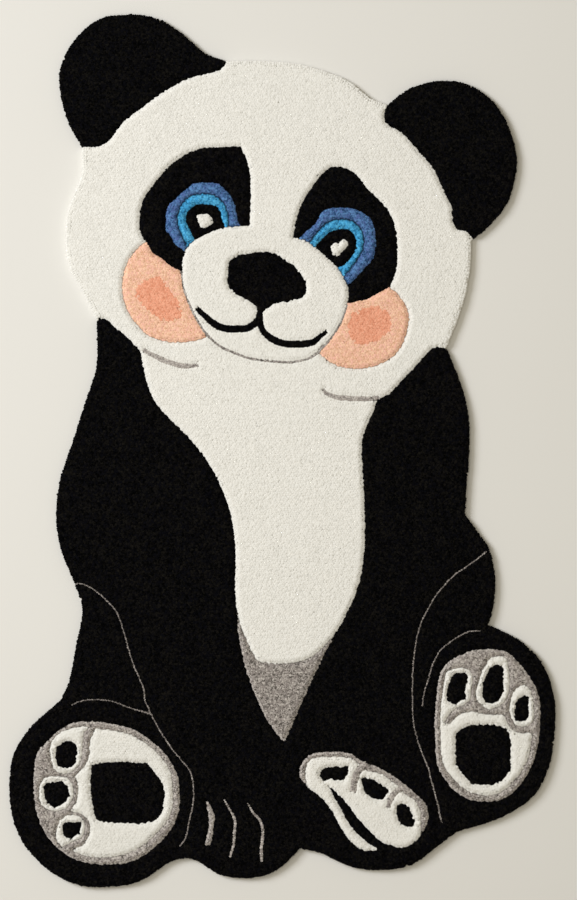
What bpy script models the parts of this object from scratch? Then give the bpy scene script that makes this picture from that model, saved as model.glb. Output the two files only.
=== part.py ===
"""A flat tufted rug for a child's room, cut to the outline of a sitting panda.

The rug lies face up on the floor. The head points along +Y and the feet along -Y. One closed body holds the
backing and the cut pile above it: a flat underside, a low straight wall all round, and a rounded pile edge.
"""

import math

import bmesh
import bpy
from mathutils import Vector

# Driving dimensions, in metres.
RUG_LENGTH = 1.500  # from the tip of the upper ear to the lowest foot
RUG_THICKNESS = 0.016  # backing and pile together
EDGE_ROUND = 0.010  # radius over which the pile falls away at the rug's edge
POINT_SPACING = 0.009  # distance between neighbouring points of the cut outline
ROUND_STEPS = 4  # steps in the rounded edge

# The outline is drawn on squared pattern cloth, as a rug maker draws it.
PATTERN_ROWS = 150  # squares along the rug's length
SQUARE = RUG_LENGTH / PATTERN_ROWS

BLACK_PILE = (0.012, 0.011, 0.012, 1.0)
PILE_ROUGHNESS = 0.95

# Each run is a smooth curve through its points, in pattern squares: x to the right, y toward the head, from
# the middle of the rug. The runs go clockwise from the left ear, and each starts where the last one ended, in
# a corner or a gentle turn.
OUTLINE_RUNS = {
    "left ear": [
        (-34.6, 52.1), (-37.3, 57.5), (-38.5, 64.3), (-36.5, 69.8), (-31.8, 74.1),
        (-26.3, 75.0), (-21.5, 74.2), (-17.7, 71.9), (-13.4, 68.3), (-9.6, 66.9),
    ],
    "crown": [(-9.6, 66.9), (-3.6, 67.0), (3.3, 66.3), (10.7, 63.8), (15.0, 60.6), (18.1, 59.5)],
    "right ear": [
        (18.1, 59.5), (21.8, 62.2), (27.6, 63.6), (33.2, 62.3), (37.8, 57.8),
        (40.2, 50.4), (38.9, 43.4), (35.8, 39.0), (32.4, 36.1),
    ],
    "right cheek": [(32.4, 36.1), (32.1, 30.6), (30.7, 24.5), (28.1, 17.7)],
    "right side": [(28.1, 17.7), (30.4, 11.9), (31.9, 6.2), (32.0, 0.0), (31.5, -7.2), (31.3, -11.0)],
    "right hip": [(31.3, -11.0), (33.5, -14.1), (35.6, -17.3), (36.5, -22.3), (36.2, -26.8), (35.3, -30.0)],
    "right foot": [
        (35.3, -30.0), (40.5, -32.6), (44.2, -36.1), (46.2, -40.4), (46.9, -45.5),
        (46.1, -53.1), (43.2, -59.3), (37.3, -63.2), (29.7, -65.7),
    ],
    "raised paw": [
        (29.7, -65.7), (26.3, -68.3), (22.2, -71.2), (17.5, -72.1), (11.9, -71.6), (6.4, -69.2), (2.9, -68.5),
    ],
    "middle foot": [
        (2.9, -68.5), (-0.2, -71.5), (-3.6, -73.2), (-7.4, -73.5), (-11.0, -72.9),
        (-14.4, -70.8), (-16.5, -70.1),
    ],
    "left foot": [
        (-16.5, -70.1), (-19.4, -70.7), (-24.6, -74.0), (-30.1, -75.0), (-35.2, -74.7), (-40.6, -72.0),
        (-45.0, -67.0), (-46.9, -61.0), (-46.7, -53.6), (-43.8, -48.1), (-38.3, -42.9),
    ],
    "left side": [
        (-38.3, -42.9), (-36.8, -39.7), (-35.5, -33.1), (-34.5, -27.8), (-35.5, -23.9), (-38.3, -16.6),
        (-39.0, -10.6), (-38.3, -4.8), (-36.1, 1.8), (-33.8, 9.0), (-32.1, 14.5), (-32.0, 22.6),
    ],
    "left cheek": [
        (-32.0, 22.6), (-34.6, 27.6), (-37.0, 32.4), (-37.3, 39.2), (-36.1, 43.7),
        (-34.6, 47.5), (-34.6, 52.1),
    ],
}


def clear_scene():
    """Removes whatever the file starts with."""
    for thing in list(bpy.data.objects):
        bpy.data.objects.remove(thing, do_unlink=True)


def pile_material():
    """The matt yarn that covers the rug."""
    material = bpy.data.materials.new("pile")
    material.use_nodes = True
    shader = material.node_tree.nodes["Principled BSDF"]
    shader.inputs["Base Color"].default_value = BLACK_PILE
    shader.inputs["Roughness"].default_value = PILE_ROUGHNESS
    shader.inputs["Metallic"].default_value = 0.0
    return material


def between(before, start, end, after, share):
    """A point on the Catmull-Rom curve from start to end, at this share of the way."""
    straight = (end - before) * share
    bend = (2.0 * before - 5.0 * start + 4.0 * end - after) * share**2
    twist = (3.0 * start - before - 3.0 * end + after) * share**3
    return start + 0.5 * (straight + bend + twist)


def smooth_run(points):
    """Points at an even spacing on the smooth curve through a run, without its last one."""
    places = [Vector(point) * SQUARE for point in points]
    ends = [2.0 * places[0] - places[1], *places, 2.0 * places[-1] - places[-2]]
    curve = []
    for before, start, end, after in zip(ends, ends[1:], ends[2:], ends[3:]):
        steps = max(1, round((end - start).length / POINT_SPACING))
        curve += [between(before, start, end, after, step / steps) for step in range(steps)]
    return curve


def rug_outline():
    """The whole outline, with the middle of its box at the origin."""
    outline = [place for run in OUTLINE_RUNS.values() for place in smooth_run(run)]
    low = Vector((min(place.x for place in outline), min(place.y for place in outline)))
    high = Vector((max(place.x for place in outline), max(place.y for place in outline)))
    middle = (low + high) / 2.0
    stretch = RUG_LENGTH / (high.y - low.y)
    return [(place - middle) * stretch for place in outline]


def raise_wall(mesh, underside):
    """Pulls the straight wall up from the underside, and returns the face on top of it."""
    raised = bmesh.ops.extrude_face_region(mesh, geom=[underside], use_keep_orig=True)["geom"]
    corners = [part for part in raised if isinstance(part, bmesh.types.BMVert)]
    bmesh.ops.translate(mesh, verts=corners, vec=(0.0, 0.0, RUG_THICKNESS - EDGE_ROUND))
    return next(part for part in raised if isinstance(part, bmesh.types.BMFace))


def round_edge(mesh, top):
    """Steps the top face inwards and upwards along a quarter circle."""
    for step in range(ROUND_STEPS):
        start = math.pi / 2.0 * step / ROUND_STEPS
        end = math.pi / 2.0 * (step + 1) / ROUND_STEPS
        inwards = EDGE_ROUND * (math.cos(start) - math.cos(end))
        upwards = EDGE_ROUND * (math.sin(end) - math.sin(start))
        bmesh.ops.inset_region(
            mesh, faces=[top], thickness=inwards, depth=upwards, use_even_offset=True, use_boundary=True
        )


def add_rug():
    """Adds the rug: one flat body of backing and pile."""
    mesh = bmesh.new()
    corners = [mesh.verts.new((place.x, place.y, 0.0)) for place in rug_outline()]
    underside = mesh.faces.new(corners)
    top = raise_wall(mesh, underside)
    bmesh.ops.recalc_face_normals(mesh, faces=mesh.faces)
    round_edge(mesh, top)
    data = bpy.data.meshes.new("rug")
    mesh.to_mesh(data)
    mesh.free()
    data.shade_smooth()
    data.set_sharp_from_angle(angle=math.radians(50.0))
    data.materials.append(pile_material())
    rug = bpy.data.objects.new("rug", data)
    bpy.context.scene.collection.objects.link(rug)


clear_scene()
add_rug()
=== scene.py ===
"""The looks of a flat hand-tufted rug for a child's room, cut to the outline of a sitting panda.

A woven backing carries the pile. The pile is made of single cut tufts of yarn. They stand in rows along
every edge and colour border, close together in the fields between, and lower where borders are carved.
"""

import math
from collections import namedtuple

import bpy
import numpy as np
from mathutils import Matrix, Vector, kdtree


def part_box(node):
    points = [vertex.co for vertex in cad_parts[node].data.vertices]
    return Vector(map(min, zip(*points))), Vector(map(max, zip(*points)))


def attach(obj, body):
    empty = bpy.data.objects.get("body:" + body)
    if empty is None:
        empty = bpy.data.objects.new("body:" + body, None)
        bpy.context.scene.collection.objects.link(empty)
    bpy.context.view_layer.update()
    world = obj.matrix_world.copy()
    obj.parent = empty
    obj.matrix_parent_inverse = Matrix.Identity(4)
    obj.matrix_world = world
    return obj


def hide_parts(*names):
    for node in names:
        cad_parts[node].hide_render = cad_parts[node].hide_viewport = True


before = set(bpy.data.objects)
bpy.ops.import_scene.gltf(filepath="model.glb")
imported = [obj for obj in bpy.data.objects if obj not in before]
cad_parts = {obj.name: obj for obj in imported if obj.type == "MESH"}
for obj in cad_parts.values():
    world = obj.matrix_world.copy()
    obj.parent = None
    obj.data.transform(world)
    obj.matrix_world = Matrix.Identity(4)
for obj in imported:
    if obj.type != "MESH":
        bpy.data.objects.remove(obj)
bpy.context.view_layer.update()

MM = 0.001
SEED = 20

# Sizes of the rug, in metres.
RUG_LOW, RUG_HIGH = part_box("rug")
RUG_LENGTH = RUG_HIGH.y - RUG_LOW.y
PILE_TOP = RUG_HIGH.z
OUTLINE_STRETCH = np.array([1.0, 1.0013])  # from the CAD outline to the photograph's
OUTLINE_SHIFT = np.array([-1.0, -1.0]) * MM
BACKING_THICKNESS = 3.0 * MM
BACKING_INSET = 1.0 * MM  # from the outline to the edge of the backing
EDGE_ROUND = 7.5 * MM  # over this width the pile falls away at the rug's edge
EDGE_WALL = 6.0 * MM  # height of the pile right at the edge
EDGE_STEEPEST = 0.93  # share of the rounded edge after which it gets no steeper
CARVE_REACH = 8.0 * MM  # how far from a colour border the pile is trimmed
CARVE_CURVE = 1.6  # power by which the trimming deepens towards the border
CARVE_DEPTH = 4.0 * MM
LINE_CARVE = 1.8 * MM  # depth beside a line

# Steps between the points of curves, and how unsteady a hand draws them.
OUTLINE_STEP = 2.0 * MM
RING_STEP = 1.3 * MM  # around a field
LINE_DETAIL = 0.5 * MM  # along the middle of a line
BACKING_STEP = 4.0 * MM
BORDER_STEP = 1.0 * MM  # along the borders that show, and the rug's edge
BORDER_SIDE = 0.6 * MM  # how far to either side of a border its two fields are looked up
WOBBLE = 0.45 * MM  # how far a border strays
ROUGH_WOBBLE = 0.75 * MM  # and around the nose and the pads
LINE_WOBBLE = 0.6 * WOBBLE
LINE_KNOT = 8  # a line strays anew every so many of its points
LINE_STOPS = (0.0, 0.35, 0.75, 1.0)  # shares of a line where its start, middle, middle and end widths hold

# Where the tufts stand.
SPACING = 4.2 * MM  # between tufts in a field
ROW_STEP = 3.9 * MM
ROW_OFFSET = 2.0 * MM  # from a border to its row
EDGE_OFFSET = 2.4 * MM  # from the rug's edge to its first row
SECOND_ROW = 6.0 * MM  # from the rug's edge
ROW_JITTER = 0.3 * MM
BORDER_BAND = (0.72 * ROW_OFFSET, 1.35 * ROW_OFFSET)  # distances from a border that count as its row
EDGE_BAND = (0.8 * EDGE_OFFSET, 1.25 * EDGE_OFFSET)
SECOND_BAND = 0.4 * ROW_OFFSET
BESIDE_BORDER = 1.4 * ROW_OFFSET
CROWDED = 0.66 * SPACING  # of two row tufts closer than this, the later one is dropped
LINE_STEP = 4.4 * MM
LINE_SHARE = 0.9  # a line's tufts stand closer by this
LINE_SIZES = (0.31, 1.0)  # the narrowest and the widest tufts of lines
LINE_JITTER = 0.2 * MM
FILL_JITTER = 0.2  # of the spacing
FILL_GAP = 0.74 * SPACING  # from a row to the nearest tuft of the field
FILL_CLEAR = 1.3  # of a row's offset, kept free between the border or edge and the field
SETTLE_REACH = 3.0 * SPACING  # tufts this near a row are pushed apart
SETTLE_ROUNDS = 3
SETTLE_PUSH = 0.35
SETTLE_MOST = 0.3 * SPACING
HOLE = 0.70 * SPACING  # a bare place this far from every tuft gets one more
HOLE_STEP = 1.3 * MM
HOLE_JITTER = 0.4  # of that step
HOLE_BORDER = 0.7 * ROW_OFFSET
MIXING = 1.6 * MM  # how far the tufts of a soft field stray over its border

# The shape of a tuft: its sides, then for each of its rings the share of its height, the radius and how far
# the shading turns outwards, and last the share of the pile's slope that the shading follows.
TuftShape = namedtuple("TuftShape", "sides shares widths bulge tilt")
CAP = TuftShape(5, (0.0, 0.88), (0.95 * SPACING, 0.57 * SPACING), (0.42, 0.24), 0.75)
EDGE_TUFT = TuftShape(
    6, (0.0, 0.62, 0.94), (0.66 * SPACING, 0.84 * SPACING, 0.55 * SPACING), (1.2, 0.8, 0.4), 0.18
)
CAP_DEPTH = 2.8 * MM  # a tuft in the field is modelled this far down
EDGE_FOOT = 1.2 * MM  # height at which an edge tuft starts
BORDER_FOOT = 0.92  # the tufts beside a border are this much narrower at the foot
TURN_JITTER = 0.14  # radians
SIZE_JITTER = 0.07
TIP_JITTER = 0.1 * MM
TUFT_JITTER = 0.2 * MM  # of the height of whole tufts
HIGHEST = PILE_TOP + 0.5 * MM
LOWEST = 0.8 * MM
FOLLOW_MOST = 2.5 * MM  # how far a tuft's corners rise or fall with the slope of the pile
GAP_RANGE = (-1.0, 4.0)  # of the distance from a border that shades the yarn

# How the tufts lean, and soft waves over the rug: their length in metres, their size and a seed for each.
LEAN_JITTER = 0.30 * MM
BORDER_LEAN = 0.5 * MM  # towards a carved border
EDGE_LEAN = 0.7 * MM
HEIGHT_WAVES = (0.09, 0.30 * MM, 5)
LEAN_WAVES = (0.16, 0.5 * MM, 7, 8)
TONE_WAVES = (0.05, 0.10, 3)
WAVE_COUNT = 6
WAVE_SPREAD = (0.7, 1.6)

# The photograph's own pixels, x to the right and y down. The outline spans PHOTO_TOP to PHOTO_BOTTOM.
PHOTO_TOP = 14.0
PHOTO_BOTTOM = 886.5
PHOTO_MIDDLE_X = 283.0
PHOTO_MIDDLE_Y = (PHOTO_TOP + PHOTO_BOTTOM) / 2.0
PIXEL = RUG_LENGTH / (PHOTO_BOTTOM - PHOTO_TOP)
PHOTO_WIDTH, PHOTO_HEIGHT = 577, 900

# The fold of the middle paw, a run that two of its fields share.
PAW_CREASE = [
    (379, 850), (363, 850.5), (349.5, 840), (340, 825.5), (330, 808.3), (320.5, 797.5), (307.5, 787.5)
]

# Each field of one yarn, in the order of painting: a later one lies over the earlier ones. A field is a
# closed ring of runs in pixels. Each run starts where the last one ended, the first one where the last run
# ends, and there may be a corner there. A run of one point is straight, and a longer one is smooth.
FIELDS = {
    "grey bib": ("grey", [
        [(239, 637), (246.2, 670), (257.3, 700), (269.6, 724), (284.5, 743)],
        [(293.5, 722), (304.5, 697), (319, 665), (331, 642), (346, 612)], [(237, 610)]]),
    "head and belly": ("white", [
        [(82, 147), (98, 146), (110, 139), (123, 122.5), (141.5, 107.8), (166, 90.2), (188.5, 78.4),
         (212, 72.3), (223, 67), (229, 56)],
        [(300, 30)], [(388, 80)],
        [(387.8, 104), (384.2, 115), (388, 124.5), (402, 132.5), (419.3, 151.7), (434, 169), (443, 189),
         (451.5, 206), (452.5, 219), (457, 229), (467, 232), (480, 246)],
        [(500, 320)], [(446, 348)],
        [(437, 347.5), (429.3, 351), (414.5, 367.8), (400, 382.7), (389.5, 393.5), (378, 400),
         (372.5, 414), (366, 428), (362.3, 440), (362.3, 468), (364.4, 500), (365, 540), (361, 575),
         (352, 603), (340, 626), (330, 640), (317, 653), (305, 660), (288, 663.5), (268, 663.5),
         (257, 661)],
        [(248, 644), (239, 620), (235, 590), (235.5, 550), (231.5, 517), (222.3, 490), (209.7, 465),
         (189, 438), (162, 411), (150.6, 393), (143.8, 370), (141, 352)],
        [(130, 340), (121, 332), (113, 326), (107, 320), (97, 318.5), (80, 321)], [(30, 240)],
        [(60, 152)]]),
    "left cheek": ("peach", [
        [(144, 243), (133, 253), (125.5, 267), (122, 285), (124, 302), (131, 317), (141, 329), (152, 337),
         (167, 341.5), (186, 342), (200, 339.5), (210, 335)],
        [(215, 290)], [(152, 237)]]),
    "left blush": ("coral", [
        [(160, 277), (168, 287), (176, 300), (181, 311), (178, 319), (165, 320), (150, 311), (140, 302),
         (136, 291), (147, 279)]]),
    "right cheek": ("peach", [
        [(397, 293), (405, 304), (409, 317), (407, 332), (401, 347), (392, 357), (377, 365.5), (358, 369),
         (338, 366), (322, 356), (312, 345)],
        [(340, 300)], [(388, 286)]]),
    "right blush": ("coral", [
        [(388, 314), (391, 325), (386, 334), (375, 341), (361, 344), (352, 340), (348, 329), (350, 318),
         (362, 310), (377, 306)]]),
    "left eye patch": ("black", [
        [(169.3, 264.8), (159.5, 257.3), (152.5, 252.3), (147, 243), (141, 234), (139.2, 221),
         (142.3, 202), (152, 186), (167, 168), (184, 155), (202, 148), (220, 147), (240, 146)],
        [(245.6, 157), (249.7, 172), (250.9, 190), (250.5, 212), (249, 232)], [(181, 271)]]),
    "right eye patch": ("black", [
        [(296.7, 218), (303.3, 200.5), (311.5, 187.7), (321, 175), (331, 166.5)],
        [(345, 167.5), (357, 175), (367, 187.7), (379.5, 200), (390, 213), (395.7, 230), (397.5, 248),
         (397.5, 264), (394, 277.5), (389, 286.7), (378, 293), (366, 299.5), (348, 303)],
        [(292.5, 240)]]),
    "left outer iris": ("blue", [
        [(175, 244), (169.5, 235), (165.5, 228), (167, 208), (176, 198), (186, 189), (196, 183),
         (217, 183), (225, 189), (232, 197.5), (236, 210), (238, 221), (242, 228)],
        [(184, 251)]]),
    "left inner iris": ("cyan", [
        [(182, 236), (177.5, 223), (178.5, 211), (186, 199), (197, 194), (212, 194.5), (222, 201),
         (227.5, 212), (229, 230)],
        [(188, 247)]]),
    "left pupil": ("black", [
        [(191, 232), (186, 220), (189, 210), (198, 204), (213, 205), (219, 209), (222, 219), (226, 231)],
        [(197, 243)]]),
    "left glint": ("white", [
        [(203, 214), (209.5, 214.5), (213, 221.5), (208.5, 226), (202, 227.5), (198.5, 222), (197, 216)]]),
    "right outer iris": ("blue", [
        [(306, 231.5), (315, 223.5), (321, 213), (328, 208.5), (342, 207.5), (355, 209), (367, 215.5),
         (373.5, 224), (376, 240), (374, 257), (365, 268), (353, 281), (346, 286)],
        [(297, 240)]]),
    "right inner iris": ("cyan", [
        [(317, 232.5), (326, 223.5), (338, 219), (351, 220), (360, 228), (364, 240), (361.5, 252),
         (354, 264), (343, 277)],
        [(309, 243)]]),
    "right pupil": ("black", [
        [(321, 239.5), (331, 231.5), (345, 228.5), (353, 233), (356.5, 243), (353.5, 254), (345, 264),
         (335, 269)],
        [(314, 248)]]),
    "right glint": ("white", [
        [(334.5, 242.5), (338.5, 243), (343, 239.5), (348, 241.5), (346.5, 247.5), (341, 252.5),
         (336, 256), (332, 252.5), (331, 246.5)]]),
    "muzzle": ("white", [
        [(223, 228), (203, 235.5), (189, 245), (183.5, 256), (182, 271), (184, 288), (191, 307),
         (203, 329), (216, 343), (232, 351.5), (252, 358), (275, 361), (294, 361.5), (311, 356.5),
         (326, 343), (339, 325), (346.5, 306), (348.5, 289), (339, 270), (322, 253), (307, 241.5),
         (293, 237)],
        [(249, 225.5)]]),
    "nose": ("black", [
        [(230, 261), (239, 255), (255, 252.5), (272, 252.5), (285, 260), (299, 271.5), (306.5, 285),
         (304, 296), (291, 301), (274.5, 303.5), (263, 310.5), (249, 301), (234, 292), (228, 284),
         (227.5, 275)]]),
    "left sole": ("grey", [
        [(75.5, 722.5), (90, 722), (105, 722.8), (121, 726.3), (136, 731), (150.5, 741), (163.5, 752),
         (173, 766), (178.8, 782), (179.5, 803), (175.5, 821), (165, 837.5), (147, 853.5), (128, 862.8),
         (106, 864.8), (84, 862.5), (66, 855), (49.5, 840), (39, 821), (34, 798), (34, 772), (37, 753.7),
         (48.3, 740.3), (61.5, 729)]]),
    "left sole white": ("white", [
        [(112, 730.5), (130, 735), (150, 747), (164, 761), (171, 776), (173, 795), (170, 816), (155, 835),
         (136, 850), (115, 857), (88, 857), (71, 851)],
        [(83, 845), (89, 834), (88.5, 822), (80, 814), (70, 811.5)], [(76, 802), (78, 788), (75, 776)],
        [(84, 767), (88.5, 757), (90, 742), (95, 729)]]),
    "left sole toe 1": ("white", [
        [(83.5, 734), (82, 752), (79, 765), (69, 773.5), (57, 772.5), (51.5, 762), (50, 747), (56, 736),
         (70, 728.5), (89, 727)]]),
    "left sole toe 2": ("white", [
        [(46, 777.5), (56, 776.5), (67, 778.5), (72.5, 786), (73, 797), (65, 809), (53, 811), (42, 806),
         (38.7, 796), (40.5, 784)]]),
    "left sole toe 3": ("white", [
        [(69, 815.5), (80, 817), (85, 826), (82, 837), (72, 842), (62, 848)], [(55.5, 837), (59, 821)]]),
    "left sole pad 1": ("black", [
        [(66, 742.5), (73.5, 742.5), (77, 750), (75.5, 763), (67, 768.5), (58, 765.5), (55.5, 755),
         (58.5, 745.5)]]),
    "left sole pad 2": ("black", [
        [(54, 782.5), (64, 783), (68.7, 791), (67.5, 799), (58, 806.8), (47.5, 804.3), (44, 794),
         (44.5, 785)]]),
    "left sole pad 3": ("black", [
        [(72, 822.5), (80.5, 824), (78, 834), (71, 838.5), (65, 837.5), (62.3, 831), (64.5, 823.5)]]),
    "left sole main pad": ("black", [
        [(106, 763), (124, 762.3), (147.3, 763.8)], [(155.3, 773), (163, 784.5)],
        [(164.2, 796), (163, 809)],
        [(160, 816.5), (153.5, 821.5), (143, 823.6), (125, 823.4), (107.5, 822.8), (97, 821)],
        [(91.6, 803), (90.6, 782), (92, 765.5)]]),
    "middle paw": ("grey", [
        [(301, 779), (299.8, 769), (304.5, 759.5), (313.5, 754), (335, 752), (350, 754), (360, 760.5),
         (376, 766.5), (390, 774.5), (403.3, 783.5), (415.5, 794), (426, 804), (428.7, 816), (425, 829),
         (417.5, 840), (406, 847.5), (396, 847.5)],
        PAW_CREASE]),
    "middle paw white": ("white", [
        [(305.5, 776), (307, 765), (313, 758.5), (330, 757), (349, 758), (358, 764), (367, 770.5),
         (382, 775), (396, 785), (404, 793), (414, 799.5), (420, 809), (421.5, 823), (420, 837),
         (407, 847), (394, 847)],
        PAW_CREASE]),
    "middle paw fold": ("black", [
        [(334, 790.5), (342, 798.3), (348.5, 806), (357.5, 818), (370.3, 832), (383.5, 843), (397, 848),
         (396, 856)],
        [(380, 850.5)], [(365.5, 841), (351.7, 827.3), (342.6, 812.5), (334.8, 798), (327, 785)]]),
    "middle paw pad 1": ("black", [
        [(328, 767.5), (348, 767)], [(347.5, 774), (343, 781)], [(331, 780), (323, 780.5), (319, 772)]]),
    "middle paw pad 2": ("black", [
        [(373, 780), (381, 785), (389, 791), (385, 797), (379.5, 800.5), (372, 798), (364.5, 791),
         (362, 779)]]),
    "middle paw pad 3": ("black", [
        [(404, 804.5), (410, 809), (413.5, 818), (414, 826), (405, 826), (399, 821), (397, 806)]]),
    "right sole": ("grey", [
        [(441.5, 671.5), (451, 661), (468.5, 652.2), (484, 649.5), (505, 651.5), (519, 663), (531, 679),
         (539, 696), (540.7, 715), (538.7, 742), (532.5, 765), (520, 785.5), (504, 799), (486, 802),
         (468, 799), (452, 788), (438.5, 768), (436, 748), (435, 722), (437, 692)]]),
    "right sole white": ("white", [
        [(461, 668), (470.5, 671.5), (473, 680), (471.5, 690), (470.5, 698), (466, 704), (457, 708),
         (451, 713), (447, 718.5), (445, 723.5)],
        [(450.5, 723.5), (456, 717.5), (463, 713.5), (472, 712), (487, 714.5), (504.5, 715)],
        [(510, 727), (519, 733), (533, 733)],
        [(529, 757), (518, 777), (502, 792), (487, 796), (471, 793), (455, 781), (443, 763), (441, 740),
         (440.5, 715), (443, 688), (446.5, 671.5)]]),
    "right sole toe 2": ("white", [
        [(505, 657.5), (509, 670), (510, 686), (506.5, 699), (498, 707.5), (488, 709), (479, 702),
         (476, 694), (479, 680), (484, 668), (492, 657.5)]]),
    "right sole toe 3": ("white", [
        [(522.5, 685.5), (530, 689), (533.5, 700), (534.5, 714), (531.5, 724), (523, 727.5), (515, 724),
         (510, 713), (511, 700), (515, 691)]]),
    "right sole pad 1": ("black", [
        [(456, 673.5), (466, 674), (467.5, 680), (465.5, 688), (466, 698.5)],
        [(460.5, 701), (454, 705), (447.5, 700), (447, 690), (451, 678)]]),
    "right sole pad 2": ("black", [
        [(503, 665)],
        [(503.5, 678), (503, 694), (496.5, 702), (487, 702.5), (482.5, 694), (484, 680), (489, 671),
         (494, 665)]]),
    "right sole pad 3": ("black", [
        [(526.5, 696), (529, 706), (528.8, 714), (525, 721), (519, 721.5), (515, 717.5), (514.8, 708),
         (518.5, 699)]]),
    "right sole main pad": ("black", [
        [(456, 739), (459, 731)], [(468.5, 726), (484.5, 725.2), (500, 726)],
        [(507.8, 732.5), (510.5, 741), (511, 771)], [(500.5, 781.5), (490.5, 785), (471, 784.2)],
        [(456, 765)]]),
    "claw 1": ("grey", [
        [(209, 804), (214.5, 816.5), (213.3, 826), (212.3, 837), (210, 845.5)], [(204.5, 845.5)],
        [(208, 832), (208.7, 818), (207.2, 808), (205, 800)]]),
}
SOFT_FIELDS = ("left blush", "right blush")  # mixed into their neighbour, with no carved border

# Lines of one or more rows of tufts: yarn, width in pixels at the start, middle and end, and points.
LINES = {
    "muzzle line": ("grey", (1.8, 2.3, 1.8), [
        (181.5, 272), (183.5, 288), (190.5, 307), (202, 328), (216, 343.5), (232, 352), (252, 358.5),
        (275, 361.5), (294, 362), (311, 357), (326, 344), (339, 326), (347, 306)]),
    "mouth left": ("black", (6.0, 7.2, 4.6), [
        (260, 306), (259, 318.5), (250.5, 326.8), (239, 329.0), (224, 328.1), (211.5, 322), (204, 315),
        (197.5, 308.5)]),
    "mouth right": ("black", (5.8, 7.1, 3.8), [
        (259.5, 319), (263, 331), (272, 339), (284, 343.5), (298, 344), (311, 343), (319, 337.5),
        (326.5, 332)]),
    "neck line left": ("grey", (3.6, 5.2, 3.2), [
        (143.5, 350), (150, 353.5), (164, 360.5), (180, 365.5), (190, 366), (198, 365)]),
    "neck line right": ("grey", (3.2, 5.0, 3.6), [
        (323, 389.5), (328, 394), (340, 397.8), (356, 398.6), (370, 398.6), (379, 397)]),
    "left leg line": ("grey", (1.2, 1.3, 1.5), [
        (72, 585.5), (80.5, 584), (92, 588.5), (104, 598), (115, 610), (121, 623), (126, 640),
        (131, 657), (137, 673), (143, 687), (145, 701), (151, 714), (157, 726), (165, 739), (175, 753),
        (189, 770), (193, 783), (193, 803), (189, 822), (186, 837), (180, 846)]),
    "left knee line": ("grey", (1.2, 1.3, 1.5), [
        (72, 705), (82, 700.5), (96, 699.5), (112, 701.5), (130, 708), (150, 714)]),
    "right leg line": ("grey", (1.4, 1.3, 1.5), [
        (486, 552), (472, 563), (456, 574), (441, 589), (429, 607), (419, 630), (414, 656),
        (412.5, 685), (413.5, 720), (418, 742), (426, 762), (433, 786), (438, 805), (442, 823)]),
    "right knee line": ("grey", (1.3, 1.3, 1.3), [
        (480, 631), (468, 632), (455, 639), (441, 650), (433, 664), (428, 681), (424, 693),
        (422, 706)]),
    "claw 2": ("grey", (1.6, 2.7, 2.5), [
        (224.5, 800), (228, 807), (233, 815.5), (235, 823), (234, 837), (233, 846), (230, 857)]),
    "claw 3": ("grey", (1.6, 2.9, 3.4), [
        (247.5, 804), (253, 812), (260, 820.5), (263, 833), (261.5, 846), (261, 861)]),
    "middle toe line 1": ("grey", (7.0, 6.6, 6.4), [(367, 764), (358, 772), (354.5, 782), (352.5, 792)]),
    "middle toe line 2": ("grey", (5.2, 5.2, 3.4), [(405, 788), (396, 792), (391, 799), (388, 808.5)]),
}

# What a yarn looks like: the colour of dark tufts, of light ones, and a second tint that some lean towards;
# what is left of the colour under the painted shade at a tuft's foot and in the groove along a border, and
# how wide that band of painted groove shade is;
# how light the usual tuft is, and how much that varies from tuft to tuft and within one.
Yarn = namedtuple(
    "Yarn", "slot dark light tint foot spread ply tone groove groove_width", defaults=(0.50, 0.60, 2.2 * MM)
)
YARNS = {
    "black": Yarn(
        "black_pile", (0.0001, 0.0001, 0.0001), (0.0090, 0.0079, 0.0062), (0.0026, 0.0026, 0.0040),
        foot=0.50, spread=0.28, ply=1.0, tone=0.36,
    ),
    "white": Yarn(
        "white_pile", (0.70, 0.68, 0.62), (0.84, 0.815, 0.75), (0.80, 0.78, 0.72),
        foot=0.94, spread=0.16, ply=0.75,
    ),
    "grey": Yarn(
        "grey_pile", (0.095, 0.083, 0.072), (0.54, 0.495, 0.445), (0.30, 0.262, 0.24),
        foot=0.75, spread=0.25, ply=1.6,
    ),
    "blue": Yarn(
        "blue_pile", (0.016, 0.056, 0.145), (0.114, 0.258, 0.50), (0.092, 0.155, 0.37),
        foot=0.60, spread=0.40, ply=1.2, groove=0.12, groove_width=4.0 * MM,
    ),
    "cyan": Yarn(
        "cyan_pile", (0.014, 0.128, 0.265), (0.105, 0.475, 0.76), (0.055, 0.355, 0.68),
        foot=0.60, spread=0.38, ply=1.0, groove=0.16, groove_width=3.7 * MM,
    ),
    "peach": Yarn(
        "peach_pile", (0.70, 0.405, 0.25), (0.93, 0.605, 0.415), (0.88, 0.50, 0.385),
        foot=0.88, spread=0.42, ply=1.6, groove=0.50,
    ),
    "coral": Yarn(
        "coral_pile", (0.69, 0.27, 0.155), (0.88, 0.42, 0.27), (0.84, 0.385, 0.245),
        foot=0.85, spread=0.42, ply=1.6, groove=0.70,
    ),
}
# Fields and lines whose yarn is lighter or darker than usual.
TONES = {
    "grey bib": 0.42, "left sole": 0.64, "right sole": 0.70, "middle paw": 0.70,
    "neck line left": 1.15, "neck line right": 1.15, "left leg line": 0.0, "left knee line": 0.0,
    "right leg line": 0.05, "right knee line": 0.05, "claw 1": 0.7, "claw 2": 0.7, "claw 3": 0.7,
    "middle toe line 1": 0.82, "middle toe line 2": 0.82,
    "left sole white": 0.2, "left sole toe 1": 0.2, "left sole toe 2": 0.3, "left sole toe 3": 0.3,
}
BEVEL_HIGHLIGHT = 0.50  # painted highlight: the grey yarn is this much lighter right beside black, on its carved border
TONE_RANGE = (-0.3, 1.3)
TINT, TINT_SPREAD = 0.25, 0.35
BLACK_GROOVE_SHADE, LINE_GROOVE_SHADE = 0.55, 0.4  # share of the painted groove shade beside black, and beside a line
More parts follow.
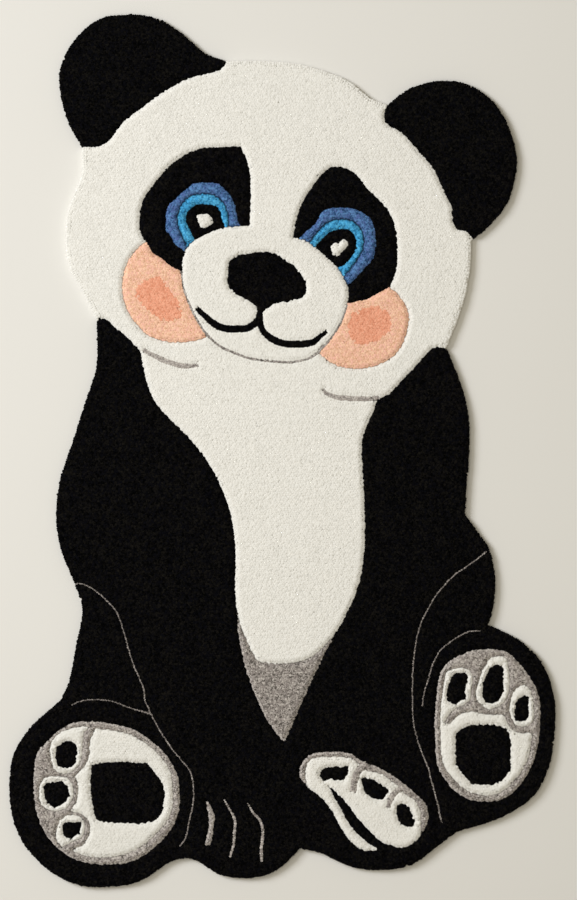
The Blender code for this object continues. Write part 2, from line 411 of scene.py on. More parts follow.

# The backing between its threads, on them, on thick ones and where glue stains it, and the floor.
GAP_COLOUR, THREAD_COLOUR = (0.42, 0.36, 0.28), (0.66, 0.59, 0.48)
SLUB_COLOUR, STAIN_COLOUR = (0.50, 0.44, 0.35), (0.40, 0.33, 0.24)
FLOOR_DARK, FLOOR_LIGHT = (0.725, 0.705, 0.655), (0.745, 0.725, 0.675)

# Scales of the textures, in waves a metre, and how much they change the yarn's shade.
FIBRE_SCALE, FIBRE_SHARE = 1400.0, 0.5
PATCH_SCALE, PATCH_SHARE = 24.0, 0.24
PLY_SCALE = 520.0  # the yarn's plies are about two millimetres wide
THREAD_SCALE = 125.0
SLUB_SCALE = 60.0
STAIN_SCALE = 7.0
BUMP_HEIGHT = 0.4 * MM

FLOOR_HALF = 20.0
FLOOR_LEVEL = -0.2 * MM
CAMERA_HEIGHT = 4.2
SENSOR_HEIGHT = 24.0  # millimetres

rng = np.random.default_rng(SEED)


def on_rug(points):
    """Points of the photograph as places on the rug, in metres."""
    points = np.asarray(points, float)
    return np.column_stack([points[:, 0] - PHOTO_MIDDLE_X, PHOTO_MIDDLE_Y - points[:, 1]]) * PIXEL


# ---- curves


def smooth(points, step, closed=False):
    """The Catmull-Rom curve through the points, with a point about every step."""
    if closed:
        ends = [points[-2], *points, points[1]]
    else:
        ends = [2.0 * points[0] - points[1], *points, 2.0 * points[-1] - points[-2]]
    curve = []
    for before, start, end, after in zip(ends, ends[1:], ends[2:], ends[3:]):
        count = max(1, round(float(np.linalg.norm(end - start)) / step))
        share = np.arange(count)[:, None] / count
        straight = (end - before) * share
        bend = (2.0 * before - 5.0 * start + 4.0 * end - after) * share**2
        twist = (3.0 * start - before - 3.0 * end + after) * share**3
        curve.append(start + 0.5 * (straight + bend + twist))
    return np.concatenate(curve)


def unit(vectors):
    """The same directions, one metre long."""
    return vectors / np.maximum(np.linalg.norm(vectors, axis=1, keepdims=True), 1e-9)


def left_of(ahead):
    """The directions a quarter turn to the left."""
    return np.column_stack([-ahead[:, 1], ahead[:, 0]])


def even(line, step, closed):
    """The same line with its points at an even spacing, and the direction of the line at each of them."""
    if closed:
        line = np.vstack([line, line[:1]])
    lengths = np.linalg.norm(np.diff(line, axis=0), axis=1)
    along = np.concatenate([[0.0], np.cumsum(lengths)])
    count = max(2, round(along[-1] / step))
    places = np.linspace(0.0, along[-1], count, endpoint=not closed)
    points = np.column_stack([np.interp(places, along, line[:, axis]) for axis in (0, 1)])
    if closed:
        ahead = np.roll(points, -1, axis=0) - np.roll(points, 1, axis=0)
    else:
        ahead = np.gradient(points, axis=0)
    return points, unit(ahead)


def strays(count, size):
    """Smooth random distances along a line, each about as large as the size."""
    loose = rng.normal(0.0, 1.0, count)
    soft = loose + np.roll(loose, 1) + np.roll(loose, 2)
    return soft / math.sqrt(3.0) * size


def ring_of(name, runs):
    """The closed outline made of a field's runs, as unsteady as a hand draws it."""
    curve = []
    start = runs[-1][-1]
    for run in runs:
        curve.append(smooth(on_rug([start, *run]), RING_STEP, closed=len(runs) == 1))
        start = run[-1]
    points, ahead = even(np.concatenate(curve), RING_STEP, closed=True)
    wobble = ROUGH_WOBBLE if name == "nose" or "pad" in name else WOBBLE
    return points + left_of(ahead) * strays(len(points), wobble)[:, None]


def inside(points, outline):
    """Which of the points lie inside a closed outline."""
    x, y = points[:, 0], points[:, 1]
    low, high = outline.min(axis=0), outline.max(axis=0)
    near = np.flatnonzero((x >= low[0]) & (x <= high[0]) & (y >= low[1]) & (y <= high[1]))
    hit = np.zeros(len(near), bool)
    x, y = x[near], y[near]
    for (x0, y0), (x1, y1) in zip(outline, np.roll(outline, -1, axis=0)):
        if y0 != y1:
            crosses = (y0 > y) != (y1 > y)
            hit ^= crosses & (x < (x1 - x0) * (y - y0) / (y1 - y0) + x0)
    found = np.zeros(len(points), bool)
    found[near] = hit
    return found


def node_outline(node):
    """The outline of a flat CAD node's underside, in order: the edges that only one of its faces has."""
    mesh = node.data
    lowest = min(vertex.co.z for vertex in mesh.vertices)
    once = set()
    for face in mesh.polygons:
        if any(mesh.vertices[corner].co.z > lowest + 1e-6 for corner in face.vertices):
            continue
        corners = [tuple(round(c, 6) for c in mesh.vertices[corner].co[:2]) for corner in face.vertices]
        for start, end in zip(corners, corners[1:] + corners[:1]):
            if (end, start) in once:
                once.discard((end, start))
            else:
                once.add((start, end))
    after = dict(once)
    start = next(iter(after))
    outline = [start]
    while after[outline[-1]] != start:
        outline.append(after[outline[-1]])
    return np.array(outline)


# ---- the pattern


def line_shape(widths, points):
    """A line's middle, the direction to its left, its half width, and its closed outline."""
    middle, ahead = even(smooth(on_rug(points), LINE_DETAIL), LINE_DETAIL, closed=False)
    share = np.linspace(0.0, 1.0, len(middle))
    start, centre, end = widths
    half = np.interp(share, LINE_STOPS, (start, centre, centre, end)) * PIXEL / 2.0
    side = left_of(ahead)
    knots = np.linspace(0.0, 1.0, max(2, len(middle) // LINE_KNOT))
    middle = middle + side * np.interp(share, knots, strays(len(knots), LINE_WOBBLE))[:, None]
    left, right = middle + side * half[:, None], middle - side * half[:, None]
    return middle, side, half, np.concatenate([left, right[::-1]])


outline = node_outline(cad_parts["rug"]) * OUTLINE_STRETCH + OUTLINE_SHIFT
outline = smooth(np.vstack([outline, outline[:1]]), OUTLINE_STEP, closed=True)
field_names = ["body", *FIELDS, *LINES]
field_yarns = ["black"] + [yarn for yarn, _ in FIELDS.values()] + [yarn for yarn, _, _ in LINES.values()]
field_rings = [ring_of(name, runs) for name, (_, runs) in FIELDS.items()]
line_shapes = [line_shape(widths, points) for _, widths, points in LINES.values()]
rings = field_rings + [shape[3] for shape in line_shapes]
first_line = 1 + len(FIELDS)
soft = np.array([name in SOFT_FIELDS for name in field_names])
yarn_names = list(YARNS)
yarn_index = np.array([yarn_names.index(yarn) for yarn in field_yarns])
BLACK, GREY = yarn_names.index("black"), yarn_names.index("grey")


def fields_at(points, mixed=0.0):
    """The field that shows at each point. A mixed amount blurs the borders of the soft fields."""
    found = np.zeros(len(points), int)
    blurred = points + rng.normal(0.0, 1.0, points.shape) * mixed
    for number, ring in enumerate(rings, start=1):
        found[inside(blurred if soft[number] else points, ring)] = number
    return found


def tree_of(points):
    """A search tree of places on the rug."""
    tree = kdtree.KDTree(len(points))
    for number, (x, y) in enumerate(points):
        tree.insert((x, y, 0.0), number)
    tree.balance()
    return tree


def nearest(tree, points):
    """For each point, the tree's nearest point: its number, its distance and the direction away from it."""
    numbers = np.empty(len(points), int)
    away = np.empty((len(points), 2))
    for row, (x, y) in enumerate(points):
        place, number, _ = tree.find((x, y, 0.0))
        numbers[row] = number
        away[row] = x - place.x, y - place.y
    distance = np.linalg.norm(away, axis=1)
    return numbers, distance, away / np.maximum(distance, 1e-9)[:, None]


def distance_to(tree, points):
    """How far each point is from the tree's nearest one."""
    return nearest(tree, points)[1]


def visible_borders():
    """Points along each border between yarns that shows, how deep it is carved and how strong its painted
    groove shade is.
    """
    places, depths, groove_shades = [], [], []
    for number, ring in enumerate(rings, start=1):
        if soft[number]:
            continue
        of_line = number >= first_line
        points, ahead = even(ring, BORDER_STEP, closed=True)
        side = left_of(ahead) * BORDER_SIDE
        one, other = fields_at(points + side), fields_at(points - side)
        shows = (yarn_index[one] != yarn_index[other]) & ((one == number) | (other == number))
        shows &= ~(soft[one] | soft[other]) | of_line
        shows &= inside(points, outline)
        beside_black = (yarn_index[one] == BLACK) | (yarn_index[other] == BLACK)
        groove_shade = np.full(len(points), LINE_GROOVE_SHADE) if of_line else np.where(beside_black, BLACK_GROOVE_SHADE, 1.0)
        places.append(points[shows])
        depths.append(np.full(shows.sum(), LINE_CARVE if of_line else CARVE_DEPTH))
        groove_shades.append(groove_shade[shows])
    return np.concatenate(places), np.concatenate(depths), np.concatenate(groove_shades)


edge_tree = tree_of(even(outline, BORDER_STEP, closed=True)[0])
border_points, border_depths, border_groove_shades = visible_borders()
border_tree = tree_of(border_points)


# ---- where the tufts stand


def row_beside(ring, offset):
    """Places for a row of tufts along a closed outline, this far to its left."""
    points, ahead = even(ring, ROW_STEP, closed=True)
    along = rng.normal(0.0, ROW_JITTER, (len(points), 1))
    across = offset + rng.normal(0.0, ROW_JITTER, (len(points), 1))
    return points + ahead * along + left_of(ahead) * across


def line_tufts(shape):
    """The places of a line's own tufts, one or more rows side by side, and their sizes."""
    middle, side, half, _ = shape
    places, sizes = [], []
    rows = max(1, round(2.0 * float(np.median(half)) / SPACING))
    length = float(np.linalg.norm(np.diff(middle, axis=0), axis=1).sum())
    wide = np.clip(2.0 * half / rows / LINE_STEP, *LINE_SIZES)
    count = round(length / (LINE_SHARE * LINE_STEP * float(np.median(wide))))
    for row in range(rows):
        share = (row + 0.5) / rows * 2.0 - 1.0
        picked = np.linspace(0, len(middle) - 1, count).round().astype(int)
        if row % 2:
            picked = (picked[1:] + picked[:-1]) // 2
        places.append(middle[picked] + side[picked] * (half[picked] * share)[:, None])
        sizes.append(wide[picked])
    places = np.concatenate(places)
    return places + rng.normal(0.0, LINE_JITTER, places.shape), np.concatenate(sizes)


def thinned(places, apart):
    """The rows that stay when each place too close to an earlier one is dropped."""
    taken = {}
    kept = []
    for row, (x, y) in enumerate(places):
        column, line = int(math.floor(x / apart)), int(math.floor(y / apart))
        crowd = [
            other
            for dx in (-1, 0, 1)
            for dy in (-1, 0, 1)
            for other in taken.get((column + dx, line + dy), ())
        ]
        if all((x - ox) ** 2 + (y - oy) ** 2 >= apart**2 for ox, oy in crowd):
            taken.setdefault((column, line), []).append((x, y))
            kept.append(row)
    return np.array(kept, int)


def border_rows():
    """Places and fields of the tufts in rows along the rug's edge and along every border that shows."""
    inwards = 1.0 if inside(row_beside(outline, EDGE_OFFSET), outline).mean() > 0.5 else -1.0
    rows = [row_beside(outline, inwards * offset) for offset in (EDGE_OFFSET, SECOND_ROW)]
    for number, ring in enumerate(rings, start=1):
        if not soft[number]:
            rows += [row_beside(ring, sign * ROW_OFFSET) for sign in (1.0, -1.0)]
    rows = np.concatenate(rows)
    rows = rows[inside(rows, outline)]
    found = fields_at(rows)
    from_border, from_edge = distance_to(border_tree, rows), distance_to(edge_tree, rows)
    nearest_border, farthest_border = BORDER_BAND
    nearest_edge, farthest_edge = EDGE_BAND
    at_border = (from_border > nearest_border) & (from_border < farthest_border)
    at_border &= from_edge > nearest_edge
    at_edge = (from_edge > nearest_edge) & (from_edge < farthest_edge)
    at_edge |= np.abs(from_edge - SECOND_ROW) < SECOND_BAND
    at_edge &= from_border > nearest_border
    good = (at_border | at_edge) & (found < first_line)
    return rows[good], found[good]


def place_tufts():
    """Where every tuft stands, which field it belongs to and how wide it is."""
    places, fields, sizes = [], [], []
    for number, shape in enumerate(line_shapes, start=first_line):
        spots, wide = line_tufts(shape)
        on_it = inside(spots, outline)
        places.append(spots[on_it])
        fields.append(np.full(on_it.sum(), number))
        sizes.append(wide[on_it])
    line_count = sum(len(spots) for spots in places)
    rows, found = border_rows()
    places, fields = np.concatenate([*places, rows]), np.concatenate([*fields, found])
    sizes = np.concatenate([*sizes, np.ones(len(rows))])
    kept = np.union1d(np.arange(line_count), thinned(places, CROWDED))
    places, fields, sizes = places[kept], fields[kept], sizes[kept]

    fill = fill_places(places)
    found = fields_at(fill, mixed=MIXING)
    fill, found = fill[found < first_line], found[found < first_line]
    sizes = np.concatenate([sizes, np.ones(len(fill))])
    return np.concatenate([places, fill]), np.concatenate([fields, found]), sizes


def grid(step, rise, shift=0.0):
    """Places on an even grid over the rug's box, with every second row shifted."""
    x, y = np.meshgrid(np.arange(RUG_LOW.x, RUG_HIGH.x, step), np.arange(RUG_LOW.y, RUG_HIGH.y, rise))
    x = x + (np.arange(len(x)) % 2)[:, None] * shift
    return np.column_stack([x.ravel(), y.ravel()])


def fill_places(rows):
    """Places in a loose honeycomb between the rows, pushed apart until they are evenly spread."""
    fill = grid(SPACING, SPACING * math.sqrt(0.75), shift=SPACING / 2.0)
    fill += rng.uniform(-FILL_JITTER, FILL_JITTER, fill.shape) * SPACING
    fill = fill[inside(fill, outline)]
    gap = distance_to(tree_of(rows), fill)
    keep = (gap > FILL_GAP) & (distance_to(border_tree, fill) > FILL_CLEAR * ROW_OFFSET)
    keep &= distance_to(edge_tree, fill) > FILL_CLEAR * EDGE_OFFSET
    fill = settled(fill[keep], rows, gap[keep])
    return np.concatenate([fill, in_holes(np.concatenate([rows, fill]))])


def in_holes(tufts):
    """Places for the tufts that are still missing, where a bare spot is left among those that stand."""
    spots = grid(HOLE_STEP, HOLE_STEP)
    spots += rng.uniform(-HOLE_JITTER, HOLE_JITTER, spots.shape) * HOLE_STEP
    gap = distance_to(tree_of(tufts), spots)
    spots, gap = spots[gap > HOLE], gap[gap > HOLE]
    good = inside(spots, outline) & (distance_to(border_tree, spots) > HOLE_BORDER)
    good &= distance_to(edge_tree, spots) > EDGE_BAND[0]
    spots, gap = spots[good], gap[good]
    spots = spots[np.argsort(-gap)]
    return spots[thinned(spots, HOLE)]


def settled(fill, rows, gap):
    """Pushes the places near a row away from their neighbours."""
    near = np.flatnonzero(gap < SETTLE_REACH)
    for _ in range(SETTLE_ROUNDS):
        tree = tree_of(np.concatenate([fill, rows]))
        moves = np.zeros((len(near), 2))
        for row, number in enumerate(near):
            x, y = fill[number]
            for place, other, distance in tree.find_range((x, y, 0.0), SPACING):
                if other != number and distance > 1e-6:
                    push = SETTLE_PUSH * (SPACING - distance) / distance
                    moves[row] += (x - place.x) * push, (y - place.y) * push
        fill[near] += np.clip(moves, -SETTLE_MOST, SETTLE_MOST)
    return fill


# ---- the surface of the pile


def pile_surface(places):
    """The pile at each place: the height of its tips, its slope, and what lies near it."""
    numbers, from_border, border_away = nearest(border_tree, places)
    _, from_edge, edge_away = nearest(edge_tree, places)
    reach = np.clip(1.0 - from_border / CARVE_REACH, 0.0, 1.0)
    depth = border_depths[numbers]
    into = np.clip(EDGE_ROUND - from_edge, 0.0, EDGE_STEEPEST * EDGE_ROUND)
    round_height = np.sqrt(EDGE_ROUND**2 - into**2)
    height = EDGE_WALL + round_height * (PILE_TOP - EDGE_WALL) / EDGE_ROUND - depth * reach**CARVE_CURVE
    carve_slope = depth * CARVE_CURVE * reach ** (CARVE_CURVE - 1.0) / CARVE_REACH
    edge_slope = into / round_height
    slope = border_away * carve_slope[:, None] + edge_away * edge_slope[:, None]
    return {
        "height": height, "slope": slope, "groove_shade": border_groove_shades[numbers], "reach": reach,
        "from_edge": from_edge, "edge_away": edge_away,
        "from_border": from_border, "border_away": border_away,
    }


def waves(places, length, seed):
    """A soft random field over the rug, between -1 and 1, whose waves are about this long."""
    waver = np.random.default_rng(seed)
    total = np.zeros(len(places))
    for _ in range(WAVE_COUNT):
        angle, phase = waver.uniform(0.0, 2.0 * math.pi, 2)
        size = length * waver.uniform(*WAVE_SPREAD)
        way = places[:, 0] * math.cos(angle) + places[:, 1] * math.sin(angle)
        total += np.sin(way * 2.0 * math.pi / size + phase)
    return total / WAVE_COUNT


class Tufts:
    """The points and faces of many tufts: a ring of yarn ends at each share of the height, and a top."""

    def __init__(self, stand, shape):
        count, levels, sides = len(stand["places"]), len(shape.shares), shape.sides
        each = {label: values[:, None, None] for label, values in stand.items()}
        angle = rng.uniform(0.0, 2.0 * math.pi, (count, 1, 1)) + np.arange(sides) * 2.0 * math.pi / sides
        angle = angle + rng.normal(0.0, TURN_JITTER, (count, levels, sides))
        wide = each["size"] * np.array(shape.widths)[:, None]
        wide = wide * (1.0 + rng.normal(0.0, SIZE_JITTER, (count, levels, sides)))
        wide[:, 0] *= stand["foot_size"][:, None]
        share = np.broadcast_to(np.array(shape.shares)[:, None], angle.shape)
        around = np.stack([np.cos(angle), np.sin(angle)], axis=-1)
        step = wide[..., None] * around
        plan = each["places"] + step + each["lean"] * share[..., None]
        follow = np.clip((step * each["slope"]).sum(axis=-1), -FOLLOW_MOST, FOLLOW_MOST)
        rise = (each["height"] - each["foot"] + follow) * share
        z = each["foot"] + rise + rng.normal(0.0, TIP_JITTER, share.shape) * share
        z = np.maximum(z, LOWEST)
        self.points = np.concatenate([plan, z[..., None]], axis=-1).reshape(-1, 3)
        out = around * np.array(shape.bulge)[:, None, None] - shape.tilt * each["slope"]
        self.normals = unit(np.concatenate([out, np.ones_like(z)[..., None]], axis=-1).reshape(-1, 3))
        # The share of each point's height, which drives the painted shade towards the tuft's foot.
        self.rise = share.ravel()
        self.tone = np.repeat(stand["tone"], levels * sides)
        self.tint = np.repeat(stand["tint"], levels * sides)
        # How far each point lies from the border, which drives the painted shade in the border's groove.
        gap = each["from_border"] + (step * each["border_away"]).sum(axis=-1)
        self.gap = np.clip(gap / each["groove"] + 1.0 - each["groove_shade"], *GAP_RANGE).ravel()

        first = (np.arange(count) * levels * sides)[:, None]
        turn = np.arange(sides)
        after = (turn + 1) % sides
        walls = []
        for level in range(levels - 1):
            low = first + level * sides
            corners = (low + turn, low + after, low + after + sides, low + turn + sides)
            walls.append(np.stack(corners, axis=-1))
        self.quads = np.concatenate(walls).reshape(-1, 4)
        self.tops = first + (levels - 1) * sides + turn


def pile_piece(name, groups):
    """One object made of several groups of tufts."""
    corners, starts, first, done = [], [], 0, 0
    for group in groups:
        for faces in (group.quads, group.tops):
            corners.append((faces + first).ravel())
            starts.append(done + np.arange(len(faces)) * faces.shape[1])
            done += faces.size
        first += len(group.points)
    corners, starts = np.concatenate(corners), np.concatenate(starts)
    points = np.concatenate([group.points for group in groups])
    mesh = bpy.data.meshes.new(name)
    mesh.vertices.add(len(points))
    mesh.vertices.foreach_set("co", points.ravel().astype(np.float32))
    mesh.loops.add(len(corners))
    mesh.loops.foreach_set("vertex_index", corners.astype(np.int32))
    mesh.polygons.add(len(starts))
    mesh.polygons.foreach_set("loop_start", starts.astype(np.int32))
    mesh.update(calc_edges=True)
    mesh.shade_smooth()
    # The tuft's tone and tint, and the height share and border distance that drive its painted shade.
    for label in ("tone", "tint", "rise", "gap"):
        values = np.concatenate([getattr(group, label) for group in groups])
        layer = mesh.attributes.new(label, "FLOAT", "POINT")
        layer.data.foreach_set("value", values.astype(np.float32))
    low, high = points.min(axis=0), points.max(axis=0)
    plan = (points[corners][:, :2] - low[:2]) / np.maximum(high - low, 1e-9)[:2]
    mesh.uv_layers.new(name="OFBake").data.foreach_set("uv", plan.ravel().astype(np.float32))
    mesh.normals_split_custom_set_from_vertices(np.concatenate([group.normals for group in groups]))
    piece = bpy.data.objects.new(name, mesh)
    bpy.context.scene.collection.objects.link(piece)
    return piece


# ---- materials


class Shader:
    """Short ways to add and link the nodes of one material."""

    def __init__(self, name, roughness):
        self.material = bpy.data.materials.new(name)
        self.material.use_nodes = True
        self.nodes = self.material.node_tree.nodes
        self.links = self.material.node_tree.links
        self.out = self.nodes["Principled BSDF"]
        self.out.inputs["Roughness"].default_value = roughness

    def add(self, kind, **inputs):
        node = self.nodes.new(kind)
        for label, value in inputs.items():
            self.give(node.inputs[label.replace("_", " ")], value)
        return node

    def give(self, socket, value):
        if isinstance(value, bpy.types.NodeSocket):
            self.links.new(value, socket)
        else:
            socket.default_value = value

    def attribute(self, name):
        node = self.nodes.new("ShaderNodeAttribute")
        node.attribute_name = name
        return node.outputs["Fac"]

    def maths(self, operation, *values):
        node = self.nodes.new("ShaderNodeMath")
        node.operation = operation
        for socket, value in zip(node.inputs, values):
            self.give(socket, value)
        return node.outputs[0]

    def around(self, value, size):
        """A value between 0 and 1 as one around 0, this large from end to end."""
        return self.maths("SUBTRACT", self.maths("MULTIPLY", value, size), size / 2.0)

    def mix(self, share, first, second, blend="MIX"):
        node = self.nodes.new("ShaderNodeMix")
        node.data_type = "RGBA"
        node.blend_type = blend
        self.give(node.inputs["Factor"], share)
        self.give(node.inputs["A"], first)
        self.give(node.inputs["B"], second)
        return node.outputs["Result"]

    def place(self):
        return self.nodes.new("ShaderNodeTexCoord").outputs["Object"]

    def noise(self, scale, detail=2.0, stretch=(1.0, 1.0, 1.0)):
        mapping = self.add("ShaderNodeMapping", Vector=self.place(), Scale=stretch)
        texture = self.add("ShaderNodeTexNoise", Vector=mapping.outputs[0], Scale=scale, Detail=detail)
        return texture.outputs[0]

    def bump(self, height, strength):
        node = self.add("ShaderNodeBump", Height=height, Distance=BUMP_HEIGHT, Strength=strength)
        self.give(self.out.inputs["Normal"], node.outputs["Normal"])


def colour(rgb):
    """The colour with its alpha."""
    return (*rgb, 1.0)


def pile_material(name, yarn):
    """Cut wool: a shade for each tuft, plies and fine fibres, painted shade low in the pile and in border
    grooves, and a soft sheen.
    """
    look = Shader(f"{name} pile", roughness=0.9)
    fibre = look.noise(FIBRE_SCALE, 3.0, (1.0, 1.0, 0.35))
    patch = look.noise(PATCH_SCALE, 2.0)
    plies = look.add("ShaderNodeTexVoronoi", Vector=look.place(), Scale=PLY_SCALE)
    ply = look.add("ShaderNodeSeparateColor", Color=plies.outputs["Color"])
    own = look.maths("MULTIPLY", look.maths("SUBTRACT", ply.outputs[0], 0.5), yarn.ply)
    wander, fine = look.around(patch, PATCH_SHARE), look.around(fibre, FIBRE_SHARE)
    shade = look.maths("ADD", look.maths("ADD", fine, own), wander)
    shade = look.maths("ADD", look.attribute("tone"), shade)
    base = look.mix(shade, colour(yarn.dark), colour(yarn.light))
    lean = look.maths("ADD", look.attribute("tint"), look.maths("SUBTRACT", ply.outputs[1], 0.5))
    base = look.mix(lean, base, colour(yarn.tint))
    # Painted shade: the yarn is darker towards each tuft's foot and in the groove along a carved border.
    foot = look.maths("MULTIPLY_ADD", look.attribute("rise"), 1.0 - yarn.foot, yarn.foot)
    groove = look.add("ShaderNodeMapRange", Value=look.attribute("gap"), To_Min=yarn.groove)
    groove.interpolation_type = "SMOOTHSTEP"
    base = look.mix(1.0, base, look.maths("MULTIPLY", foot, groove.outputs[0]), "MULTIPLY")
    look.give(look.out.inputs["Base Color"], base)
    look.give(look.out.inputs["Roughness"], look.maths("MULTIPLY_ADD", fibre, 0.14, 0.84))
    black = name == "black"
    look.out.inputs["Specular IOR Level"].default_value = 0.02 if black else 0.10
    look.out.inputs["Sheen Weight"].default_value = 0.01 if black else 0.06
    look.out.inputs["Sheen Roughness"].default_value = 0.5
    look.bump(fibre, strength=0.35)
    return look.material


def backing_material():
    """Coarse woven cotton, in threads about two and a half millimetres apart, stained by the glue."""
    look = Shader("backing cloth", roughness=0.92)
    place = look.place()
    bands = []
    for axis in ("X", "Y"):
        wave = look.add("ShaderNodeTexWave", Vector=place, Scale=THREAD_SCALE, Distortion=1.2, Detail=1.0)
        wave.bands_direction = axis
        bands.append(wave.outputs[0])
    weave = look.maths("MULTIPLY", bands[0], bands[1])
    slub = look.noise(SLUB_SCALE, 3.0, (0.15, 1.0, 1.0))
    base = look.mix(weave, colour(GAP_COLOUR), colour(THREAD_COLOUR))
    base = look.mix(look.maths("MULTIPLY", slub, 0.35), base, colour(SLUB_COLOUR))
    stain = look.maths("SUBTRACT", look.maths("MULTIPLY", look.noise(STAIN_SCALE, 4.0), 3.0), 1.2)
    base = look.mix(look.maths("MULTIPLY", stain, 0.30), base, colour(STAIN_COLOUR))
    look.give(look.out.inputs["Base Color"], base)
    look.out.inputs["Specular IOR Level"].default_value = 0.15
    look.bump(weave, strength=0.7)
    return look.material


def floor_material():
    """A plain pale floor with the faintest unevenness."""
    look = Shader("pale floor", roughness=0.75)
    drift = look.noise(1.3, 2.0)
    base = look.mix(drift, colour(FLOOR_DARK), colour(FLOOR_LIGHT))
    look.give(look.out.inputs["Base Color"], base)
    look.out.inputs["Specular IOR Level"].default_value = 0.1
    return look.material


# ---- pieces


# The pieces of the yarns that have several, each with the pixels of the photograph that it covers: left,
# right, top and bottom. A tuft goes to the first piece that covers it.
FAR = 1000  # beyond the photograph's last pixel
EVERYWHERE = (0, FAR, 0, FAR)
REGIONS = {
    "black": {
        "pile_black_left_ear": (0, 300, 0, 150),
        "pile_black_right_ear": (384, FAR, 0, 246),
        "pile_black_face": (137, 400, 0, 346),
        "pile_black_left_arm": (0, 300, 0, 600),
        "pile_black_right_arm": (0, FAR, 0, 600),
        "pile_black_left_leg": (0, 285, 0, FAR),
        "pile_black_right_leg": EVERYWHERE,
    },
    "white": {
        "pile_white_head_top": (0, FAR, 0, 200),
        "pile_white_head_low": (0, FAR, 0, 400),
        "pile_white_belly": (0, FAR, 0, 670),
        "pile_white_soles": EVERYWHERE,
    },
}


def stand_of(places, fields, sizes):
    """Everything that shapes and colours each tuft, and which of them stand on the rug's rounded edge."""
    stand = pile_surface(places)
    yarns = yarn_index[fields]
    count = len(places)
    length, amount, seed = HEIGHT_WAVES
    height = stand["height"] + (rng.normal(0.0, TUFT_JITTER, count) + amount * waves(places, length, seed))
    stand["height"] = np.minimum(height, HIGHEST)
    length, amount, *seeds = LEAN_WAVES
    drift = np.column_stack([waves(places, length, seed) for seed in seeds]) * amount
    lean = rng.normal(0.0, LEAN_JITTER, places.shape) + drift
    lean -= stand["border_away"] * (stand["reach"] * BORDER_LEAN)[:, None]
    outer = stand["from_edge"] < EDGE_ROUND
    over = EDGE_LEAN * (1.0 - stand["from_edge"][outer] / EDGE_ROUND)
    lean[outer] -= stand["edge_away"][outer] * over[:, None]
    stand["places"], stand["lean"] = places, lean
    stand["foot"] = np.where(outer, EDGE_FOOT, stand["height"] - CAP_DEPTH)
    stand["size"] = sizes * (1.0 + rng.normal(0.0, SIZE_JITTER, count))
    beside = stand["from_border"] < BESIDE_BORDER
    stand["foot_size"] = np.where(beside, BORDER_FOOT, 1.0)
    usual = [TONES.get(name, YARNS[yarn].tone) for name, yarn in zip(field_names, field_yarns)]
    tone = np.array(usual)[fields]
    # Painted highlight: the grey tufts of a field right beside black are lighter, along their carved
    # border.
    tone[(yarns == GREY) & (fields < first_line) & (stand["groove_shade"] == BLACK_GROOVE_SHADE) & beside] += BEVEL_HIGHLIGHT
    tone += rng.normal(0.0, 1.0, count) * np.array([yarn.spread for yarn in YARNS.values()])[yarns]
    length, amount, seed = TONE_WAVES
    stand["tone"] = np.clip(tone + amount * waves(places, length, seed), *TONE_RANGE)
    stand["tint"] = np.clip(rng.normal(TINT, TINT_SPREAD, count), 0.0, 1.0)
    # How wide the painted groove shade is for each tuft's yarn.
    stand["groove"] = np.array([yarn.groove_width for yarn in YARNS.values()])[yarns]
    return stand, outer


def add_pile():
    """Every tuft of the rug, as one piece for each yarn and region."""
    places, fields, sizes = place_tufts()
    stand, outer = stand_of(places, fields, sizes)
    photo_x = places[:, 0] / PIXEL + PHOTO_MIDDLE_X
    photo_y = PHOTO_MIDDLE_Y - places[:, 1] / PIXEL
    pieces = []
    for number, yarn in enumerate(yarn_names):
        free = yarn_index[fields] == number
        for name, (left, right, top, bottom) in REGIONS.get(yarn, {f"pile_{yarn}": EVERYWHERE}).items():
            mine = free & (photo_x > left) & (photo_x < right) & (photo_y > top) & (photo_y < bottom)
            free &= ~mine
            groups = [
                Tufts({label: values[chosen] for label, values in stand.items()}, shape)
                for chosen, shape in ((mine & ~outer, CAP), (mine & outer, EDGE_TUFT))
                if chosen.any()
            ]
            piece = pile_piece(name, groups)
            piece.data.materials.append(pile_materials[yarn])
            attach(piece, "root")
            pieces.append(piece)
    return pieces


def add_backing():
    """The woven cloth that the tufts are punched through, under the whole rug."""
    points, ahead = even(outline, BACKING_STEP, closed=True)
    inward = left_of(ahead) * BACKING_INSET
    rim = points + inward
    if inside(rim, outline).mean() < 0.5:
        rim = points - inward
    x, y = rim.T
    if np.sum(x * np.roll(y, -1) - np.roll(x, -1) * y) < 0.0:
        rim = rim[::-1]
    count = len(rim)
    corners = [(x, y, z) for z in (0.0, BACKING_THICKNESS) for x, y in rim]
    low = list(range(count))
    top = [number + count for number in low]
    walls = [(one, two, two + count, one + count) for one, two in zip(low, low[1:] + low[:1])]
    mesh = bpy.data.meshes.new("backing")
    mesh.from_pydata(corners, [], [top, low[::-1], *walls])
    mesh.update()
    mesh.materials.append(backing_material())
    backing = bpy.data.objects.new("backing", mesh)
    bpy.context.scene.collection.objects.link(backing)
    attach(backing, "root")
    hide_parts("rug")
    return backing


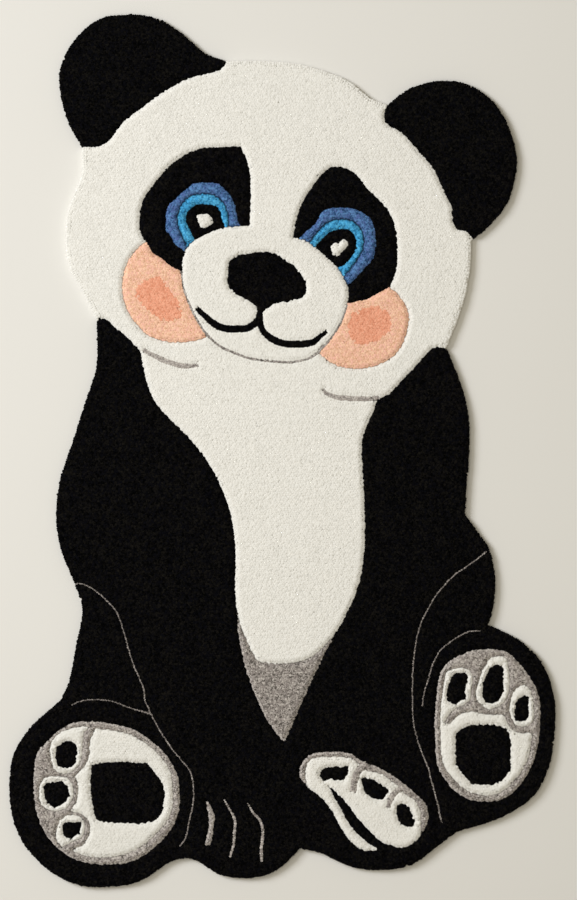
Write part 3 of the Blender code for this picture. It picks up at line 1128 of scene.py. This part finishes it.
def add_floor():
    """A plain floor, just under the rug."""
    mesh = bpy.data.meshes.new("floor")
    corners = [(x * FLOOR_HALF, y * FLOOR_HALF, 0.0) for x, y in ((-1, -1), (1, -1), (1, 1), (-1, 1))]
    mesh.from_pydata(corners, [], [(0, 1, 2, 3)])
    mesh.materials.append(floor_material())
    floor = bpy.data.objects.new("floor", mesh)
    floor.location.z = FLOOR_LEVEL
    bpy.context.scene.collection.objects.link(floor)


def add_lamp(name, place, size, power, tint, target):
    """A square soft lamp that faces the target."""
    data = bpy.data.lights.new(name, "AREA")
    data.shape = "SQUARE"
    data.size = size
    data.energy = power
    data.color = tint
    lamp = bpy.data.objects.new(name, data)
    lamp.location = place
    lamp.rotation_euler = (Vector(target) - lamp.location).to_track_quat("-Z", "Y").to_euler()
    lamp.visible_camera = False
    bpy.context.scene.collection.objects.link(lamp)


def add_light():
    """Soft daylight from the upper left, a weak lamp above, and a pale warm room around."""
    add_lamp("window", (-4.45, 2.10, 4.05), 2.5, 352.0, (0.90, 0.93, 1.0), target=(0.0, -0.2, 0.0))
    add_lamp("ceiling", (-0.45, -0.15, 2.5), 1.4, 14.0, (1.0, 0.985, 0.95), target=(0.0, 0.0, 0.0))
    world = bpy.data.worlds.new("room")
    world.use_nodes = True
    background = world.node_tree.nodes["Background"]
    background.inputs["Color"].default_value = (1.0, 0.915, 0.72, 1.0)
    background.inputs["Strength"].default_value = 0.35
    bpy.context.scene.world = world


def add_camera():
    """Straight above the rug with a long lens, framed as in the photograph."""
    data = bpy.data.cameras.new("camera")
    data.sensor_fit = "VERTICAL"
    data.sensor_height = SENSOR_HEIGHT
    data.lens = SENSOR_HEIGHT * (CAMERA_HEIGHT - PILE_TOP) / (PHOTO_HEIGHT * PIXEL)
    camera = bpy.data.objects.new("camera", data)
    middle = on_rug([(PHOTO_WIDTH / 2.0, PHOTO_HEIGHT / 2.0)])[0]
    camera.location = (middle[0], middle[1], CAMERA_HEIGHT)
    bpy.context.scene.collection.objects.link(camera)
    bpy.context.scene.camera = camera


pile_materials = {name: pile_material(name, yarn) for name, yarn in YARNS.items()}
backing = add_backing()
pile = add_pile()
add_floor()
add_light()
add_camera()
bpy.context.scene.view_settings.view_transform = "Standard"
